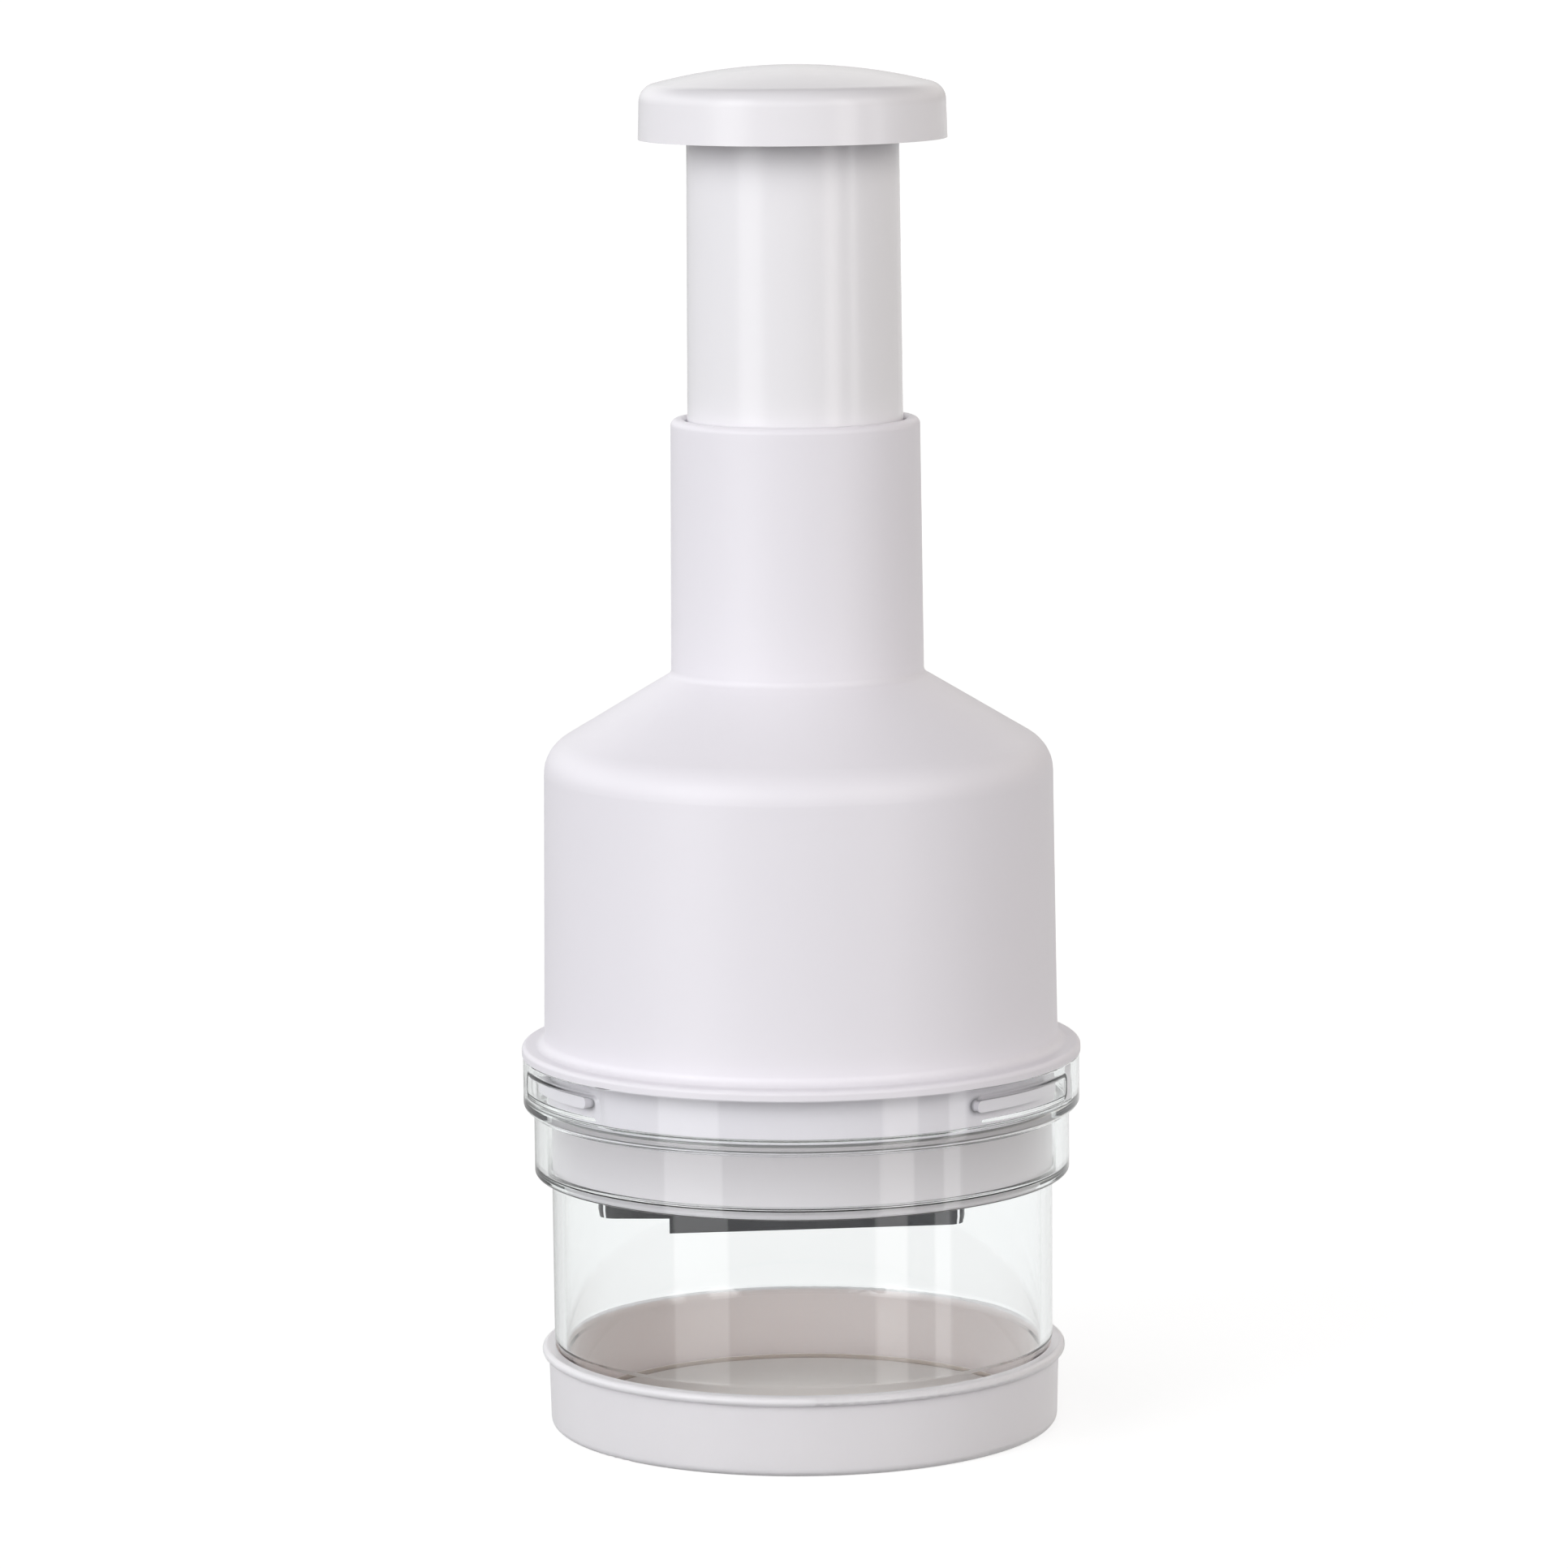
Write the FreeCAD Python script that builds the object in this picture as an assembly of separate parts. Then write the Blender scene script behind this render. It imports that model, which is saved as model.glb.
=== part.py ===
import FreeCAD, Part
import math
import os

from FreeCAD import Vector

# Plunger food chopper, standing upright on its base lid. Millimetres, +Z up.
# The origin is the centre of the base lid's underside. -Y is the front.

# ---- Common to all pieces ----
edge_break = 0.3              # small rounding of a moulded or turned edge
soft_edge = 0.5
overcut = 1.0                 # how far a cutting body runs past the face it cuts

# ---- Base lid and chopping disc ----
lid_floor = 1.2
lid_wall = 1.05
lid_height = 14.3
lid_draft = 0.35              # growth of the outer radius from the bottom to the rim
lid_corner = 1.4
lid_inner_corner = 0.6
bead_radius = 0.85            # round bead along the lid's rim
bead_overhang = 0.25          # radial, the bead's centre beyond the lid's wall
disc_thickness = 1.0
disc_gap = 0.7                # between the disc's edge and the cup's foot

# ---- Clear cup with its two-step collar ----
cup_radius = 44.2             # outside, just above the base lid
cup_draft = 0.1
cup_wall = 2.0
cup_height = 44.2             # from the foot to the collar's underside
cup_foot_step = 0.6           # the foot inside the lid is this much slimmer
cup_foot_gap = 0.3            # between the lid's rim and the step above it
cup_foot_taper = 0.5
cup_lid_clearance = 0.3       # radial, between the cup's foot and the lid
collar_wall = 2.2
collar_floor = 1.0            # the ledge inside the lower tier
collar_lower_height = 11.8
collar_upper_height = 9.4
collar_lower_clearance = 0.4  # radial, between the shell's skirt and the lower tier
collar_upper_clearance = 0.45  # radial, between the shell's lugs and the upper tier
collar_corner = 1.6
collar_lower_corner = 1.6
collar_step_offset = 1.8      # from the outer step up to the inner one

# ---- Stroke and blade ----
stroke = 37.8
blade_stop_gap = 0.2          # between the blade's edge and the disc at full stroke
blade_thickness = 0.6
blade_edge_thickness = 0.15
blade_bevel = 1.3
blade_strips = 8
blade_side_clearance = 0.8    # radial, between the blade's free ends and the wiper ring
blade_end_inset = 7.4         # how far, along Y, the free ends' line lies inside their reach
blade_fold_inset = 1.4        # how much less far the folds reach than the free ends
blade_fold_radius = 1.8
blade_turn_degrees = 30.0     # turn of the blade over one full stroke

# ---- Blade carrier and its shaft ----
carrier_thickness = 4.0
carrier_margin = 1.0          # beyond the blade's free ends
carrier_groove = 1.5          # depth of the groove that holds the blade's upper edge
carrier_stop_gap = 2.3        # above the wiper's snap ring at full stroke
groove_clearance = 0.1
hub_height = 1.2
hub_margin = 0.6              # round the carrier screws' heads
shaft_core_radius = 4.4
shaft_rib_radius = 6.2
shaft_rib_width = 3.0
shaft_ribs = 3
shaft_spigot_radius = 4.0
shaft_fit = 0.08              # radial running clearance of the spigot in its holder
nut_clearance = 0.25          # between the shaft's ribs and the drive nut
spline_slices = 12            # sections that each spiral rib is drawn through

# ---- Mechanism plate, drive nut and spring ----
plate_thickness = 3.0
plate_gap = 0.3               # radial, between the plate and the shell
plate_lift = 1.0              # between the plate's screw heads and the hub
nut_wall = 2.55
nut_flange_thickness = 2.4
nut_tower = 7.0
nut_seat_clearance = 0.1
washer_thickness = 1.0
washer_side_clearance = 0.6   # radial, inside the plunger tube
spring_wire = 1.6
spring_turns = 10
spring_clearance = 0.05       # at both ends
spring_side_clearance = 2.0   # radial, inside the plunger tube
spring_core_clearance = 1.6   # radial, outside the nut's flange

# ---- Plunger ----
tube_radius = 18.85           # where it runs in the sleeve
tube_draft = 0.35             # slimmer by this at the knob
tube_wall = 2.05
tube_step = 0.6               # shoulder in the bore that the shaft holder sits under
tube_bottom_clearance = 0.5   # above the mechanism plate at full stroke
tube_web = 2.0
tube_collar_width = 1.15
tube_collar_height = 3.0
bumper_height = 1.3
bumper_clearance = 0.1
holder_thickness = 4.0
holder_stop_gap = 11.5        # above the drive nut at full stroke
holder_clearance = 0.1
thrust_washer_thickness = 1.0
thrust_washer_radius = 8.0
retaining_washer_radius = 7.0
knob_gap = 10.8               # between the knob and the neck at full stroke
knob_overhang = 8.05          # beyond the tube, wide enough to press with the palm
knob_draft = 0.2
knob_height = 12.7
knob_edge_radius = 3.2
knob_dome_radius = 97.6
knob_wall = 2.4
knob_floor_recess = 0.8
knob_floor_thickness = 1.8
knob_fit = 0.05

# ---- Housing shell ----
shell_wall = 2.2
barrel_over_cup = 0.5         # the barrel's top is this much wider, in radius, than the cup
barrel_draft = 0.65
skirt_wall = 1.9
skirt_length = 8.3            # below the flange, inside the collar
flange_overhang = 0.2         # radial, beyond the collar
flange_thickness = 1.7
flange_corner = 0.8
flange_fillet = 1.6
shoulder_lift = 17.2          # from the mechanism plate to the shoulder's virtual edge
shoulder_slope = 0.601        # rise over run of the shoulder's cone
shoulder_radius = 7.0
neck_wall = 1.4
neck_draft = 0.4
neck_height = 44.78           # from the shoulder's cone to the lip
neck_fillet = 1.5
neck_clearance = 0.4          # radial, between the tube's collar and the neck's bore
lip_gap = 0.45                # radial, between the lip and the tube
lip_thickness = 2.4
lip_outer_corner = 1.2
lip_inner_corner = 0.8
sleeve_seat_clearance = 0.1
sleeve_fit = 0.08             # radial running clearance between sleeve and tube
boss_radius = 4.0
boss_circle = 32.0
boss_count = 3

# ---- Wiper ring and disc ----
ring_inset = 0.5              # the ring is this much slimmer, in radius, than the skirt
ring_wall = 3.0
ring_gap = 0.4                # above the cup's inner ledge, and below the skirt
ring_ledge = 1.4
ring_ledge_width = 1.0
ring_spigot_height = 5.0
ring_spigot_clearance = 0.15
wiper_thickness = 2.5
wiper_side_clearance = 0.3
wiper_slot_clearance = 0.5
wiper_slot_end = 0.6
wiper_lift = 0.2              # between the disc and the snap ring
snap_ring_height = 1.0
snap_ring_width = 1.3
snap_ring_clearance = 0.05

# ---- Bayonet between the shell and the cup, angles from the front towards +X ----
lug_count = 3
lug_start = 39.5
lug_angle = 28.5
lug_height = 2.1
lug_reach = 1.8
lug_drop = 2.7                # from the flange's underside to the lug's top
bayonet_clearance = 0.3
lug_rounding = 0.45           # of the lug's height: its ends are nearly half round
pad_engagement = 0.7          # radial, how far the lug reaches behind the pad's edge
pad_margin = 6.0              # degrees that the pad runs past the lug
pocket_depth = 1.1            # from the lug's underside to the pocket's lower edge
pocket_corner = 1.2
stop_angle = 5.2
stop_gap_angle = 0.3          # degrees between the stop and the lug

# ---- Fasteners ----
screw_radius = 1.25
screw_hole_clearance = 0.05
screw_pass_clearance = 0.35
screw_head_radius = 2.8
screw_head_height = 2.0
screw_slot_width = 0.7
screw_slot_depth = 0.9
screw_slot_span = 3.9
screw_tip_gap = 0.5           # between a screw's tip and the end of its hole
first_screw_angle = 90.0      # degrees from +X: the back
plate_screw_depth = 9.0
carrier_screw_count = 3
carrier_screw_start = 30.0
carrier_screw_gap = 0.6       # radial, between the screws' heads and the shaft's ribs
carrier_screw_floor = 0.3     # left between a screw's hole and the blade's groove
knob_screw_count = 3
knob_screw_circle = 10.0
knob_screw_cover = 3.6        # left between a screw's hole and the top of the knob
knob_boss_radius = 3.2
shaft_screw_depth = 12.0

# ---- Radii that follow from the sizes above ----
cup_foot_radius = cup_radius - cup_foot_step
cup_bore_radius = cup_radius - cup_wall
foot_bore_radius = cup_foot_radius - cup_wall
lid_bore_radius = cup_foot_radius + cup_lid_clearance
barrel_top_radius = cup_radius + barrel_over_cup
barrel_bottom_radius = barrel_top_radius + barrel_draft
skirt_radius = barrel_top_radius
skirt_bore_radius = skirt_radius - skirt_wall
collar_lower_bore = skirt_radius + collar_lower_clearance
collar_lower_radius = collar_lower_bore + collar_wall
collar_upper_bore = skirt_radius + lug_reach + collar_upper_clearance
collar_upper_radius = collar_upper_bore + collar_wall
flange_radius = collar_upper_radius + flange_overhang
ring_radius = skirt_radius - ring_inset
ring_bore_radius = ring_radius - ring_wall
ring_ledge_bore = ring_bore_radius - ring_ledge_width
wiper_radius = ring_bore_radius - wiper_side_clearance
blade_end_reach = ring_ledge_bore - blade_side_clearance
blade_fold_reach = blade_end_reach - blade_fold_inset
blade_half_depth = blade_end_reach - blade_end_inset
carrier_radius = blade_end_reach + carrier_margin
plate_radius = barrel_top_radius - shell_wall - plate_gap
tube_top_radius = tube_radius - tube_draft
tube_bore_radius = tube_radius - tube_wall
tube_collar_radius = tube_radius + tube_collar_width
knob_radius = tube_radius + knob_overhang
neck_bore_radius = tube_collar_radius + neck_clearance
neck_top_radius = neck_bore_radius + neck_wall
neck_bottom_radius = neck_top_radius + neck_draft
lip_radius = tube_radius + lip_gap
sleeve_bore_radius = tube_radius + sleeve_fit
washer_radius = tube_bore_radius - washer_side_clearance
spring_radius = tube_bore_radius - spring_side_clearance - spring_wire / 2
nut_flange_radius = spring_radius - spring_wire / 2 - spring_core_clearance
nut_body_radius = shaft_rib_radius + nut_clearance + nut_wall
carrier_screw_circle = shaft_rib_radius + carrier_screw_gap + screw_head_radius
hub_radius = carrier_screw_circle + screw_head_radius + hub_margin

# ---- Heights that follow ----
disc_top = lid_floor + disc_thickness
collar_bottom = lid_floor + cup_height
collar_step = collar_bottom + collar_lower_height
collar_top = collar_step + collar_upper_height
inner_step = collar_step + collar_step_offset
skirt_bottom = collar_top - skirt_length
flange_top = collar_top + flange_thickness
inner_ledge = collar_bottom + collar_floor
ring_bottom = inner_ledge + ring_gap
ring_top = skirt_bottom - ring_gap
wiper_bottom = ring_bottom + ring_ledge
wiper_top = wiper_bottom + wiper_thickness
snap_ring_bottom = wiper_top + wiper_lift
snap_ring_top = snap_ring_bottom + snap_ring_height
blade_bottom = disc_top + blade_stop_gap + stroke
carrier_bottom = snap_ring_top + carrier_stop_gap + stroke
blade_top = carrier_bottom + carrier_groove
carrier_top = carrier_bottom + carrier_thickness
hub_top = carrier_top + hub_height
plate_bottom = hub_top + plate_lift + screw_head_height
plate_top = plate_bottom + plate_thickness
spring_bottom = plate_top + washer_thickness
nut_top = plate_top + nut_flange_thickness + nut_tower
shoulder_edge = plate_top + shoulder_lift
neck_bottom = shoulder_edge + shoulder_slope * (barrel_top_radius - neck_bottom_radius)
neck_top = neck_bottom + neck_height
lip_bottom = neck_top - lip_thickness
tube_bottom = plate_top + stroke + tube_bottom_clearance
tube_collar_top = tube_bottom + tube_collar_height
sleeve_bottom = tube_collar_top + bumper_height
holder_bottom = nut_top + stroke + holder_stop_gap
tube_shoulder = holder_bottom + holder_thickness
knob_bottom = neck_top + stroke + knob_gap
knob_top = knob_bottom + knob_height
tube_top = knob_bottom + knob_floor_recess + knob_floor_thickness + tube_web
knob_screw_end = knob_top - knob_screw_cover

# Turn of the shaft's ribs per millimetre of height: the fixed nut turns the shaft as it sinks.
rib_twist = -blade_turn_degrees / stroke


# ---- Shape helpers ----
def rounded_corner(before, corner, after, radius):
    """Tangent points and middle of the arc that rounds a corner of an outline in the XZ plane."""
    to_before = (before - corner).normalize()
    to_after = (after - corner).normalize()
    half = to_before.getAngle(to_after) / 2
    reach = radius / math.tan(half)
    bisector = (to_before + to_after).normalize()
    start = corner + to_before * reach
    end = corner + to_after * reach
    middle = corner + bisector * (radius / math.sin(half) - radius)
    return start, middle, end


def outline_edges(outline):
    """Edges of a closed outline of (r, z) or (r, z, rounding radius) corners."""
    corners = [Vector(point[0], 0, point[1]) for point in outline]
    edges = []
    joints = []
    for index, point in enumerate(outline):
        corner = corners[index]
        if len(point) == 3:
            following = corners[(index + 1) % len(corners)]
            start, middle, end = rounded_corner(corners[index - 1], corner, following, point[2])
            edges.append(Part.Arc(start, middle, end).toShape())
            joints.append((start, end))
        else:
            joints.append((corner, corner))
    for index in range(len(corners)):
        start = joints[index - 1][1]
        end = joints[index][0]
        if start.distanceToPoint(end) > 1e-6:
            edges.append(Part.makeLine(start, end))
    return edges


def turned(outline):
    """Solid of revolution about Z from a closed outline."""
    wire = Part.Wire(Part.__sortEdges__(outline_edges(outline)))
    return Part.Face(wire).revolve(Vector(0, 0, 0), Vector(0, 0, 1), 360)


def cylinder(radius, bottom, top, x=0.0, y=0.0):
    return Part.makeCylinder(radius, top - bottom, Vector(x, y, bottom))


def pipe(outer, inner, bottom, top):
    return cylinder(outer, bottom, top).cut(cylinder(inner, bottom, top))


def sector(outer, inner, bottom, top, start, angle):
    """Arc-shaped block. Angles are degrees from the front (-Y) towards +X."""
    outline = Part.makePolygon([
        Vector(inner, 0, bottom),
        Vector(outer, 0, bottom),
        Vector(outer, 0, top),
        Vector(inner, 0, top),
        Vector(inner, 0, bottom),
    ])
    block = Part.Face(outline).revolve(Vector(0, 0, 0), Vector(0, 0, 1), angle)
    block.rotate(Vector(0, 0, 0), Vector(0, 0, 1), start - 90)
    return block


def rounded_sector(outer, inner, bottom, top, start, angle, rounding):
    """Arc-shaped block whose four corners, seen from outside, are rounded."""
    block = sector(outer, inner, bottom, top, start, angle)
    corners = []
    for edge in block.Edges:
        if edge.Curve.TypeId == "Part::GeomLine" and abs(edge.Curve.Direction.z) < 0.5:
            corners.append(edge)
    return block.makeFillet(rounding, corners)


def on_circle(count, radius, start=0.0):
    """Points evenly spaced on a circle about Z, the first at the angle start."""
    points = []
    for index in range(count):
        angle = math.radians(start + 360 * index / count)
        points.append((radius * math.cos(angle), radius * math.sin(angle)))
    return points


def around(shape, count):
    """Copies of a shape evenly spaced about Z."""
    copies = []
    for index in range(count):
        copy = shape.copy()
        copy.rotate(Vector(0, 0, 0), Vector(0, 0, 1), 360 * index / count)
        copies.append(copy)
    return copies


def screw(x, y, seat, depth, up):
    """Cross-slotted pan-head screw. Its head bears on the height seat, its shank goes up or down."""
    direction = 1 if up else -1
    shank_end = seat + direction * depth
    head_end = seat - direction * screw_head_height
    shank = cylinder(screw_radius, min(seat, shank_end), max(seat, shank_end), x, y)
    head = cylinder(screw_head_radius, min(seat, head_end), max(seat, head_end), x, y)
    slot_bottom = head_end if up else head_end - screw_slot_depth
    body = head.fuse(shank)
    for size_x, size_y in ((screw_slot_span, screw_slot_width), (screw_slot_width, screw_slot_span)):
        corner = Vector(x - size_x / 2, y - size_y / 2, slot_bottom)
        body = body.cut(Part.makeBox(size_x, size_y, screw_slot_depth, corner))
    return body.removeSplitter()


# ---- Zigzag of the blade, seen from above ----
def fold_centres():
    """Centre and side (+1 right, -1 left) of every fold, from the front free end to the back one."""
    folds = []
    for index in range(1, blade_strips):
        y = -blade_half_depth + 2 * blade_half_depth * index / blade_strips
        side = 1 if index % 2 else -1
        x = side * (math.sqrt(blade_fold_reach ** 2 - y ** 2) - blade_fold_radius)
        folds.append((Vector(x, y, 0), side))
    return folds


def tangent_from_point(point, centre, side):
    """Touch point on a fold's circle of the straight strip that comes from a point."""
    to_centre = centre - point
    length = to_centre.Length
    swing = math.asin(blade_fold_radius / length)
    heading = math.atan2(to_centre.y, to_centre.x) - side * swing
    reach = length * math.cos(swing)
    return point + Vector(math.cos(heading), math.sin(heading), 0) * reach


def zigzag_path():
    """Straight strips (start, end) of the blade's middle line, and its folds."""
    folds = fold_centres()
    end_x = math.sqrt(blade_end_reach ** 2 - blade_half_depth ** 2)
    first = Vector(-end_x, -blade_half_depth, 0)
    last_centre, last_side = folds[-1]
    last = Vector(-last_side * end_x, blade_half_depth, 0)
    strips = [[first, tangent_from_point(first, *folds[0])]]
    for (centre, side), (next_centre, next_side) in zip(folds, folds[1:]):
        between = next_centre - centre
        swing = math.asin(2 * blade_fold_radius / between.Length)
        heading = math.atan2(between.y, between.x) + side * swing
        normal = Vector(-math.sin(heading), math.cos(heading), 0)
        strips.append([
            centre - normal * (side * blade_fold_radius),
            next_centre - normal * (next_side * blade_fold_radius),
        ])
    strips.append([tangent_from_point(last, last_centre, -last_side), last])
    return strips, folds


def zigzag_side(offset, extension):
    """Edges of one side of the ribbon, offset to the left of its middle line."""
    strips, folds = zigzag_path()
    edges = []
    for index, (start, end) in enumerate(strips):
        along = (end - start).normalize()
        left = Vector(-along.y, along.x, 0)
        start_shift = extension if index == 0 else 0.0
        end_shift = extension if index == len(strips) - 1 else 0.0
        line_start = start + left * offset - along * start_shift
        line_end = end + left * offset + along * end_shift
        if edges:
            centre, side = folds[index - 1]
            chord = line_start - previous_end
            outward = Vector(chord.y, -chord.x, 0).normalize()
            if outward.x * side < 0:
                outward = outward * -1
            fold_middle = centre + outward * (blade_fold_radius - side * offset)
            edges.append(Part.Arc(previous_end, fold_middle, line_start).toShape())
        edges.append(Part.makeLine(line_start, line_end))
        previous_end = line_end
    return edges


def zigzag_wire(half_thickness, extension, height):
    """Closed outline of the ribbon at a height."""
    left = zigzag_side(half_thickness, extension)
    right = zigzag_side(-half_thickness, extension)
    start_cap = Part.makeLine(left[0].Vertexes[0].Point, right[0].Vertexes[0].Point)
    end_cap = Part.makeLine(left[-1].Vertexes[-1].Point, right[-1].Vertexes[-1].Point)
    wire = Part.Wire(Part.__sortEdges__(left + [end_cap] + right + [start_cap]))
    wire.translate(Vector(0, 0, height))
    return wire


def zigzag_solid(half_thickness, extension, bottom, top):
    face = Part.Face(zigzag_wire(half_thickness, extension, bottom))
    return face.extrude(Vector(0, 0, top - bottom))


# ---- Spiral-ribbed section of the shaft and of the drive nut ----
def rib_section(clearance, height):
    """Cross-section of the ribbed shaft at a height, grown by a clearance."""
    core = shaft_core_radius + clearance
    tip = shaft_rib_radius + clearance
    half_width = shaft_rib_width / 2 + clearance
    turn = rib_twist * (height - plate_top)
    core_half = math.degrees(math.asin(half_width / core))
    tip_half = math.degrees(math.asin(half_width / tip))
    pitch = 360 / shaft_ribs

    def at(radius, degrees):
        angle = math.radians(degrees + turn)
        return Vector(radius * math.cos(angle), radius * math.sin(angle), height)

    edges = []
    for index in range(shaft_ribs):
        middle = index * pitch
        foot_in = at(core, middle - core_half)
        tip_in = at(tip, middle - tip_half)
        tip_out = at(tip, middle + tip_half)
        foot_out = at(core, middle + core_half)
        next_foot = at(core, middle + pitch - core_half)
        edges.append(Part.makeLine(foot_in, tip_in))
        edges.append(Part.Arc(tip_in, at(tip, middle), tip_out).toShape())
        edges.append(Part.makeLine(tip_out, foot_out))
        edges.append(Part.Arc(foot_out, at(core, middle + pitch / 2), next_foot).toShape())
    return Part.Wire(edges)


def ribbed_bar(clearance, bottom, top):
    """Spiral-ribbed bar between two heights."""
    sections = []
    for index in range(spline_slices + 1):
        sections.append(rib_section(clearance, bottom + (top - bottom) * index / spline_slices))
    return Part.makeLoft(sections, True, False)


# ---- Base lid and disc ----
def base_lid():
    rim_radius = lid_bore_radius + lid_wall + lid_draft
    bead_height = lid_height - bead_radius
    tray = turned([
        (0, 0),
        (lid_bore_radius + lid_wall, 0, lid_corner),
        (rim_radius, bead_height),
        (rim_radius, lid_height),
        (lid_bore_radius, lid_height, edge_break),
        (lid_bore_radius, lid_floor, lid_inner_corner),
        (0, lid_floor),
    ])
    bead = Part.makeTorus(rim_radius + bead_overhang, bead_radius, Vector(0, 0, bead_height))
    inside = cylinder(lid_bore_radius, lid_floor, lid_height + bead_radius)
    return tray.fuse(bead.cut(inside)).removeSplitter()


def chopping_disc():
    radius = foot_bore_radius - disc_gap
    return turned([
        (0, lid_floor),
        (radius, lid_floor),
        (radius, disc_top, soft_edge),
        (0, disc_top),
    ])


# ---- Clear cup ----
def pocket_pad():
    """Pad inside the collar with the pocket that one bayonet lug turns into, up to its stop."""
    lug_top = collar_top - lug_drop
    pad_bore = skirt_radius + lug_reach - pad_engagement
    pad_start = lug_start - stop_angle - stop_gap_angle
    pad_angle = stop_angle + stop_gap_angle + lug_angle + pad_margin
    pocket_bottom = lug_top - lug_height - pocket_depth
    pocket_top = lug_top + bayonet_clearance
    pocket_start = lug_start - stop_gap_angle
    pocket_angle = stop_gap_angle + lug_angle + 2 * pad_margin
    root = collar_upper_bore + collar_wall / 2
    pad = sector(root, pad_bore, inner_step, collar_top, pad_start, pad_angle)
    pocket = rounded_sector(
        root + overcut,
        pad_bore - overcut,
        pocket_bottom,
        pocket_top,
        pocket_start,
        pocket_angle,
        pocket_corner,
    )
    return pad.cut(pocket)


def clear_cup():
    foot_top = lid_height + cup_foot_gap
    neck_radius = cup_radius + cup_draft
    body = turned([
        (foot_bore_radius, lid_floor),
        (cup_foot_radius, lid_floor, edge_break),
        (cup_foot_radius, foot_top),
        (cup_radius, foot_top + cup_foot_taper),
        (neck_radius, collar_bottom, soft_edge),
        (collar_lower_radius, collar_bottom, collar_lower_corner),
        (collar_lower_radius, collar_step, edge_break),
        (collar_upper_radius, collar_step, collar_corner),
        (collar_upper_radius, collar_top, edge_break),
        (collar_upper_bore, collar_top, edge_break),
        (collar_upper_bore, inner_step, edge_break),
        (collar_lower_bore, inner_step, edge_break),
        (collar_lower_bore, inner_ledge, soft_edge),
        (cup_bore_radius, inner_ledge, edge_break),
        (cup_bore_radius, foot_top + cup_foot_taper),
        (foot_bore_radius, foot_top),
    ])
    for pad in around(pocket_pad(), lug_count):
        body = body.fuse(pad)
    return body.removeSplitter()


# ---- Housing shell ----
def boss_points():
    return on_circle(boss_count, boss_circle, first_screw_angle)


def shell_bosses(outside):
    """Bosses under the shoulder that the mechanism plate is screwed to."""
    bosses = []
    for x, y in boss_points():
        boss = cylinder(boss_radius, plate_top, neck_bottom, x, y)
        bosses.append(boss.common(outside))
    return bosses


def housing_shell():
    slope_drop = shell_wall * math.sqrt(1 + shoulder_slope ** 2)
    inner_shoulder_radius = barrel_top_radius - shell_wall
    inner_shoulder = shoulder_edge + shoulder_slope * shell_wall - slope_drop
    inner_neck = shoulder_edge + shoulder_slope * (barrel_top_radius - neck_bore_radius) - slope_drop
    outer_side = [
        (skirt_radius, skirt_bottom, edge_break),
        (skirt_radius, collar_top),
        (flange_radius, collar_top),
        (flange_radius, flange_top, flange_corner),
        (barrel_bottom_radius, flange_top, flange_fillet),
        (barrel_top_radius, shoulder_edge, shoulder_radius),
        (neck_bottom_radius, neck_bottom, neck_fillet),
    ]
    lip = [
        (neck_top_radius, neck_top, lip_outer_corner),
        (lip_radius, neck_top, lip_inner_corner),
        (lip_radius, lip_bottom),
        (neck_bore_radius, lip_bottom),
    ]
    inner_side = [
        (neck_bore_radius, inner_neck, soft_edge),
        (inner_shoulder_radius, inner_shoulder, shoulder_radius - shell_wall),
        (barrel_bottom_radius - shell_wall, flange_top),
        (skirt_bore_radius, collar_top),
        (skirt_bore_radius, skirt_bottom, edge_break),
    ]
    shell = turned(outer_side + lip + inner_side)
    outside = turned([(0, skirt_bottom)] + outer_side[1:] + [(neck_top_radius, neck_top), (0, neck_top)])
    for boss in shell_bosses(outside):
        shell = shell.fuse(boss)
    for x, y in boss_points():
        bore = screw_radius + screw_hole_clearance
        shell = shell.cut(cylinder(bore, plate_top - overcut, plate_top + plate_screw_depth, x, y))
    lug_top = collar_top - lug_drop
    lug = rounded_sector(
        skirt_radius + lug_reach,
        skirt_radius - skirt_wall / 2,
        lug_top - lug_height,
        lug_top,
        lug_start,
        lug_angle,
        lug_height * lug_rounding,
    )
    for copy in around(lug, lug_count):
        shell = shell.fuse(copy)
    return shell.removeSplitter()


def guide_sleeve():
    outer = neck_bore_radius - sleeve_seat_clearance
    return turned([
        (sleeve_bore_radius, sleeve_bottom, edge_break),
        (outer, sleeve_bottom, edge_break),
        (outer, lip_bottom, edge_break),
        (sleeve_bore_radius, lip_bottom, edge_break),
    ])


# ---- Wiper ring, disc and snap ring ----
def wiper_ring():
    spigot = skirt_bore_radius - ring_spigot_clearance
    spigot_top = ring_top + ring_gap + ring_spigot_height
    return turned([
        (ring_ledge_bore, ring_bottom),
        (ring_radius, ring_bottom, soft_edge),
        (ring_radius, ring_top, edge_break),
        (spigot, ring_top),
        (spigot, spigot_top, edge_break),
        (ring_bore_radius, spigot_top),
        (ring_bore_radius, wiper_bottom),
        (ring_ledge_bore, wiper_bottom),
    ])


def wiper_disc():
    disc = turned([
        (0, wiper_bottom),
        (wiper_radius, wiper_bottom, edge_break),
        (wiper_radius, wiper_top, edge_break),
        (0, wiper_top),
    ])
    half_slot = blade_thickness / 2 + wiper_slot_clearance
    slot = zigzag_solid(half_slot, wiper_slot_end, wiper_bottom - overcut, wiper_top + overcut)
    return disc.cut(slot)


def wiper_snap_ring():
    outer = ring_bore_radius - snap_ring_clearance
    return pipe(outer, outer - snap_ring_width, snap_ring_bottom, snap_ring_top)


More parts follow.
